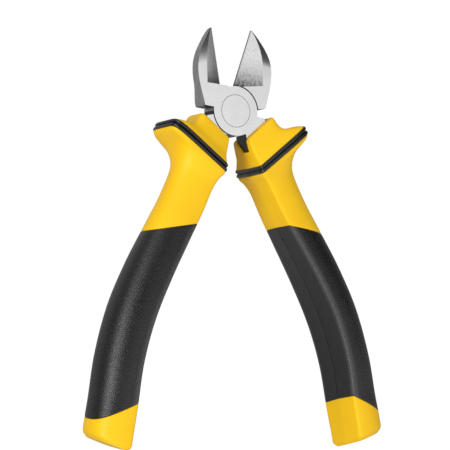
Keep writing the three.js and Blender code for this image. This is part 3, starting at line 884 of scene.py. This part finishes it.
def black_rubber(name, grained):
    """Black rubber; the grained one is smooth on the inner face and painted paler on the ridges as a
    highlight.
    """
    finish = Finish(name)
    finish.set(Specular_IOR_Level=RUBBER_GLOSS)
    dark = finish.colours(finish.noise(0.4, detail=1.0), *RUBBER_COLOURS)
    if grained:
        smooth_face = finish.colours(finish.noise(3), *RUBBER_FACE_COLOURS)
        # a painted highlight along the ridges
        ridge_highlight = finish.colours(finish.noise(0.5), *RUBBER_RIDGE_HIGHLIGHT_COLOURS)
        dark = finish.blend(smooth_face, dark, finish.attribute("grain"))
        dark = finish.blend(dark, ridge_highlight, finish.attribute("painted_ridge_highlight"))
    finish.drive("Base Color", dark)
    finish.drive("Roughness", finish.spread(finish.noise(0.5), *RUBBER_ROUGHNESS))
    strength = finish.attribute("grain") if grained else BAND_GRAIN
    finish.drive("Normal", finish.bump(finish.noise(0.3, detail=1.0), strength, depth=0.11))
    return finish.material


def ground_steel():
    """Ground along the tool's length."""
    finish = Finish("ground_steel")
    finish.set(Metallic=1.0)
    streaks = finish.noise(0.12, detail=3.0, vector=finish.stretched(STEEL_STREAKS))
    finish.drive("Base Color", finish.colours(finish.noise(5), *STEEL_COLOURS))
    finish.drive("Roughness", finish.spread(streaks, *STEEL_ROUGHNESS))
    finish.drive("Normal", finish.bump(streaks, strength=0.04, depth=0.01))
    return finish.material


def cutting_bevel():
    """Brushed along the jaw; painted shade darkens it in patches towards its root and in a line along
    the edge, where the jaws meet.
    """
    finish = Finish("cutting_bevel")
    finish.set(Metallic=1.0)
    finish.place = finish.attribute("closed_place", "Vector")
    streaks = finish.noise(0.16, detail=3.0, vector=finish.stretched(BEVEL_STREAKS))
    # Painted shade, falling from the bevel's root over the run-out
    root_shade = finish.fall_along("Y", BEVEL_START, RUN_OUT, power=2)
    # Painted shade, a dark line along the cutting edge where the jaws meet
    edge_shade = finish.fall_along("X", EDGE_GAP, EDGE_LINE, power=1)
    mottle = finish.noise(0.8, detail=3.0, vector=finish.stretched(SHADE_PATCH_STRETCH))
    shade_patches = finish.spread(mottle, *SHADE_PATCH_SHARE)
    clean = finish.colours(streaks, *BEVEL_COLOURS)
    painted_shade = finish.colours(streaks, *PAINTED_SHADE_COLOURS)
    colour_with_root_shade = finish.blend(clean, painted_shade, finish.times(root_shade, shade_patches))
    finish.drive("Base Color", finish.blend(colour_with_root_shade, painted_shade, edge_shade))
    finish.drive("Roughness", finish.spread(streaks, *BEVEL_ROUGHNESS))
    finish.drive("Normal", finish.bump(streaks, strength=0.05, depth=0.01))
    return finish.material


def forged_side(name, tone):
    """Slightly uneven, with colours a little darker and paler than the tone."""
    finish = Finish(name)
    finish.set(Metallic=1.0)
    dark, pale = ([tone * share for share in shares] for shares in (FORGED_DARK, FORGED_PALE))
    finish.drive("Base Color", finish.colours(finish.noise(2), dark, pale))
    finish.drive("Roughness", finish.spread(finish.noise(0.8), *FORGED_ROUGHNESS))
    finish.drive("Normal", finish.bump(finish.noise(0.35), strength=0.3, depth=0.03))
    return finish.material


# Studio

def seen_directly(nodes, link):
    """1 for rays from the camera and rays that were mirrored or went through glass, 0 for the light."""
    ray = nodes.new("ShaderNodeLightPath")
    total = ray.outputs["Is Camera Ray"]
    for kind in ("Is Glossy Ray", "Is Transmission Ray"):
        either = nodes.new("ShaderNodeMath")
        either.operation = "MAXIMUM"
        link(total, either.inputs[0])
        link(ray.outputs[kind], either.inputs[1])
        total = either.outputs["Value"]
    return total


def studio_floor():
    """A pale floor with a soft shadow: white to the camera; where mirrored, a painted pool of light that
    is darker to both sides.
    """
    mesh = bpy.data.meshes.new("studio_floor")
    z = cad_low.z - FLOOR_GAP
    corners = [(x * FLOOR_REACH, y * FLOOR_REACH, z) for x, y in ((-1, -1), (1, -1), (1, 1), (-1, 1))]
    mesh.from_pydata(corners, [], [(0, 1, 2, 3)])
    material = bpy.data.materials.new("pale_floor")
    material.use_nodes = True
    nodes, link = material.node_tree.nodes, material.node_tree.links.new
    nodes.clear()
    share = nodes.new("ShaderNodeMath")
    share.operation = "MULTIPLY"
    share.inputs[1].default_value = FLOOR_WHITE_SHARE
    link(seen_directly(nodes, link), share.inputs[0])
    split = nodes.new("ShaderNodeSeparateXYZ")
    link(nodes.new("ShaderNodeTexCoord").outputs["Object"], split.inputs["Vector"])
    # The tone is a painted pool of light, seen only where the floor is mirrored
    tone = nodes.new("ShaderNodeMapRange")
    tone.inputs["From Min"].default_value, tone.inputs["From Max"].default_value = FLOOR_CHANGE
    tone.inputs["To Min"].default_value = FLOOR_LIT
    tone.inputs["To Max"].default_value = FLOOR_SHADED
    beside = nodes.new("ShaderNodeMath")
    beside.operation = "SUBTRACT"
    beside.inputs[1].default_value = FLOOR_MIDDLE
    link(split.outputs["X"], beside.inputs[0])
    away = nodes.new("ShaderNodeMath")
    away.operation = "ABSOLUTE"
    link(beside.outputs["Value"], away.inputs[0])
    link(away.outputs["Value"], tone.inputs["Value"])
    matt = nodes.new("ShaderNodeBsdfDiffuse")
    matt.inputs["Color"].default_value = (FLOOR_PALE, FLOOR_PALE, FLOOR_PALE, 1)
    shown = nodes.new("ShaderNodeMath")
    shown.operation = "MAXIMUM"
    link(tone.outputs["Result"], shown.inputs[0])
    link(nodes.new("ShaderNodeLightPath").outputs["Is Camera Ray"], shown.inputs[1])
    white = nodes.new("ShaderNodeEmission")
    white.inputs["Strength"].default_value = FLOOR_WHITE
    link(shown.outputs["Value"], white.inputs["Color"])
    both = nodes.new("ShaderNodeMixShader")
    out = nodes.new("ShaderNodeOutputMaterial")
    link(share.outputs["Value"], both.inputs["Fac"])
    link(matt.outputs["BSDF"], both.inputs[1])
    link(white.outputs["Emission"], both.inputs[2])
    link(both.outputs["Shader"], out.inputs["Surface"])
    floor = new_object("studio_floor", mesh, material)


def dome_level(nodes, link, side, levels):
    """A level that changes with the cosine to one side."""
    towards = nodes.new("ShaderNodeVectorMath")
    towards.operation = "DOT_PRODUCT"
    towards.inputs[1].default_value = Vector(side).normalized()
    link(nodes.new("ShaderNodeTexCoord").outputs["Generated"], towards.inputs[0])
    (first, low), (last, high) = levels
    change = nodes.new("ShaderNodeMapRange")
    change.interpolation_type = "SMOOTHSTEP"
    change.inputs["From Min"].default_value, change.inputs["From Max"].default_value = first, last
    change.inputs["To Min"].default_value, change.inputs["To Max"].default_value = low, high
    link(towards.outputs["Value"], change.inputs["Value"])
    return change.outputs["Result"]


def studio_light():
    """A pale dome, white to the camera and brighter on the left.

    Where it is mirrored, it has a dark place to the right of the tips and one near its top.
    """
    world = bpy.data.worlds.new("studio")
    bpy.context.scene.world = world
    world.use_nodes = True
    nodes, link = world.node_tree.nodes, world.node_tree.links.new
    nodes.clear()
    dimmed = nodes.new("ShaderNodeMath")
    dimmed.operation = "MULTIPLY"
    link(dome_level(nodes, link, DARK_SIDE, DARK_LEVELS), dimmed.inputs[0])
    link(dome_level(nodes, link, DIM_SIDE, DIM_LEVELS), dimmed.inputs[1])
    dome = nodes.new("ShaderNodeBackground")
    mirrored = nodes.new("ShaderNodeBackground")
    white = nodes.new("ShaderNodeBackground")
    link(dome_level(nodes, link, BRIGHT_SIDE, DOME_LEVELS), dome.inputs["Color"])
    link(dimmed.outputs["Value"], mirrored.inputs["Color"])
    lit = nodes.new("ShaderNodeMixShader")
    seen = nodes.new("ShaderNodeMixShader")
    out = nodes.new("ShaderNodeOutputWorld")
    link(seen_directly(nodes, link), lit.inputs["Fac"])
    link(dome.outputs["Background"], lit.inputs[1])
    link(mirrored.outputs["Background"], lit.inputs[2])
    link(nodes.new("ShaderNodeLightPath").outputs["Is Camera Ray"], seen.inputs["Fac"])
    link(lit.outputs["Shader"], seen.inputs[1])
    link(white.outputs["Background"], seen.inputs[2])
    link(seen.outputs["Shader"], out.inputs["Surface"])


def handle_light(pieces):
    """A long soft box on the left that lights the handles; the steel mirrors the dome alone."""
    lamp = bpy.data.lights.new("handle_box", "AREA")
    lamp.shape = "RECTANGLE"
    lamp.size, lamp.size_y = BOX_SIZE
    lamp.energy = BOX_POWER
    box = bpy.data.objects.new("handle_box", lamp)
    box.location = BOX_PLACE
    box.rotation_euler = (Vector(BOX_AIM) - Vector(BOX_PLACE)).to_track_quat("-Z", "Y").to_euler()
    bpy.context.scene.collection.objects.link(box)
    lit = bpy.data.collections.new("lit_handles")
    for piece in pieces:
        lit.objects.link(piece)
    box.light_linking.receiver_collection = lit


def photo_camera():
    """The camera that was fitted to the photo."""
    turn, tip, roll = VIEW_TURN, VIEW_TIP, VIEW_ROLL
    right = Vector((math.cos(turn), 0, -math.sin(turn)))
    up = Vector((-math.sin(turn) * math.sin(tip), math.cos(tip), -math.cos(turn) * math.sin(tip)))
    back = Vector((math.sin(turn) * math.cos(tip), math.sin(tip), math.cos(turn) * math.cos(tip)))
    centre = Vector((0, 0, HEAD_MIDDLE)) + right * VIEW_CENTRE[0] + up * VIEW_CENTRE[1]
    rolled_right = math.cos(roll) * right + math.sin(roll) * up
    rolled_up = math.cos(roll) * up - math.sin(roll) * right
    turned = Matrix((rolled_right, rolled_up, back)).transposed().to_4x4()
    data = bpy.data.cameras.new("photo_camera")
    data.sensor_width = data.sensor_height = SENSOR
    data.lens = SENSOR * VIEW_DISTANCE / VIEW_WIDTH
    data.clip_start = CLIP_START
    camera = bpy.data.objects.new("photo_camera", data)
    camera.matrix_world = Matrix.Translation((centre + back * VIEW_DISTANCE) * MM) @ turned
    bpy.context.scene.collection.objects.link(camera)
    bpy.context.scene.camera = camera


# The tool

def finish_piece(obj, body, slot, *nodes):
    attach(obj, body)
    if nodes:
        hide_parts(*nodes)


def dress_handles():
    yellow = yellow_plastic()
    grained = black_rubber("grained_rubber", True)
    smooth_rubber = black_rubber("smooth_rubber", False)
    tree = bead_tree()
    body, grip, band = body_rings(), grip_rings(), band_rings()
    ribs = [guard_ring(share, RIB_INSET) for share in RIB_PLACES]
    pieces = []
    for side, half in (("right", "front_half"), ("left", "rear_half")):
        sleeve = handle_body(side, body, yellow)
        soft = soft_grip(side, grip, grained)
        ring = guard_band(side, band, smooth_rubber)
        rib = beads(f"{side}_guard_ribs", ribs, side, RIB_RADIUS, RIB_SIDES, tree, smooth_rubber)
        finish_piece(sleeve, half, "yellow_plastic", f"{side}_handle_body")
        finish_piece(soft, half, "black_rubber", f"{side}_soft_grip")
        finish_piece(ring, half, "black_rubber", f"{side}_guard_band")
        finish_piece(rib, half, "black_rubber")
        pieces += [sleeve, soft, ring, rib]
    return pieces


def dress_steel():
    steels = [
        ground_steel(),
        cutting_bevel(),
        forged_side("forged_side", FORGED_TONE),
        # the root's near-black tone is painted shade
        forged_side("root_in_painted_shade", SHADED_ROOT_TONE),
    ]
    front = dressed_lever("front_lever_ground", "front_lever", 1, steels)
    finish_piece(front, "front_half", "ground_steel", "front_lever")
    rear = dressed_lever("rear_lever_ground", "rear_lever", -1, steels)
    finish_piece(rear, "rear_half", "ground_steel", "rear_lever")
    finish_piece(turned_rivet(steels[GROUND]), "front_half", "rivet_steel", "pivot_rivet")


bpy.context.scene.view_settings.view_transform = "Standard"
photo_camera()
studio_floor()
studio_light()
handle_light(dress_handles())
dress_steel()
